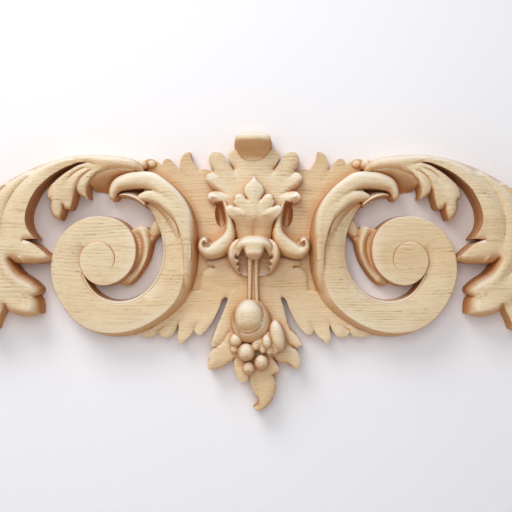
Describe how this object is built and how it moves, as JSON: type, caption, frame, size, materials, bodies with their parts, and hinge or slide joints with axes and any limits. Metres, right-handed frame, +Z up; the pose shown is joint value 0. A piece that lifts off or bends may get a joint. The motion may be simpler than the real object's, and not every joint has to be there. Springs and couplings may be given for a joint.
{
  "type": "carved scroll onlay",
  "caption": "Wide carved wooden onlay: a leafy crest with a hanging fruit drop between spiral scrolls under arching acanthus leaves.",
  "frame": {"origin": "on the flat back, at the middle of the crest's length, at the foot of the hooded bud", "axes": "+X along the onlay's length, +Z up, and +Y out of the back into whatever it is fixed to, so the carving faces -Y"},
  "size_m": [0.7254, 0.0505, 0.2799],
  "materials": {
    "oak": "raw sanded oak, unvarnished, grain along the length"
  },
  "bodies": {
    "root": {"scroll_onlay": "oak"}
  },
  "joints": []
}
